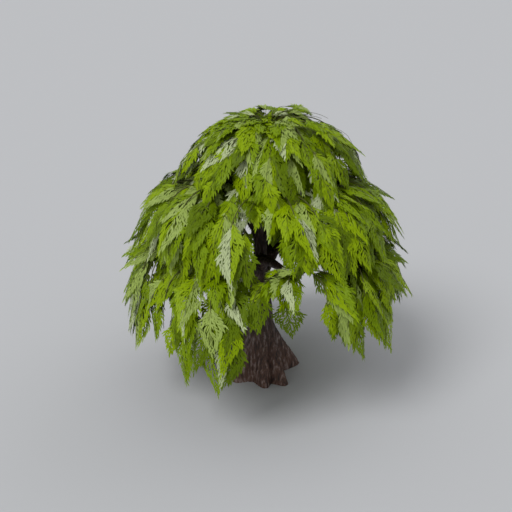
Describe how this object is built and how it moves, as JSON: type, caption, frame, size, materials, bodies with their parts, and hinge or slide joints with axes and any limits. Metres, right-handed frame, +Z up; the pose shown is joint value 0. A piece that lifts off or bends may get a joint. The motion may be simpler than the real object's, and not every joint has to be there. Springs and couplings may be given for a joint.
{
  "type": "willow tree",
  "caption": "Weeping willow rooted in level ground, with a broad fluted root flare, arching boughs and a bell-shaped crown that hangs down round an open space.",
  "frame": {"origin": "middle of the trunk's flat cut, at ground level", "axes": "+Z up the trunk; -Y towards the front, where the hanging skirt of foliage parts; +X to the right as seen from the front"},
  "size_m": [10.3119, 9.9783, 9.9093],
  "materials": {
    "bark": "rough, fissured bark",
    "leaves": "satin leaf"
  },
  "bodies": {
    "root": {"trunk": "bark", "bough_lower_back_left": "bark", "bough_lower_back_right": "bark", "bough_lower_front": "bark", "bough_lower_front_left": "bark", "bough_lower_left": "bark", "bough_lower_left_back": "bark", "bough_lower_right_back": "bark", "bough_lower_right_front": "bark", "bough_upper_back": "bark", "bough_upper_front": "bark", "bough_upper_left_back": "bark", "bough_upper_left_front": "bark", "bough_upper_right_back": "bark", "bough_upper_right_front": "bark", "foliage_lower_back_left": "leaves", "foliage_lower_back_right": "leaves", "foliage_lower_front": "leaves", "foliage_lower_front_left": "leaves", "foliage_lower_left": "leaves", "foliage_lower_left_back": "leaves", "foliage_lower_right_back": "leaves", "foliage_lower_right_front": "leaves", "foliage_top": "leaves", "foliage_upper_back": "leaves", "foliage_upper_front": "leaves", "foliage_upper_left_back": "leaves", "foliage_upper_left_front": "leaves", "foliage_upper_right_back": "leaves", "foliage_upper_right_front": "leaves"}
  },
  "joints": []
}
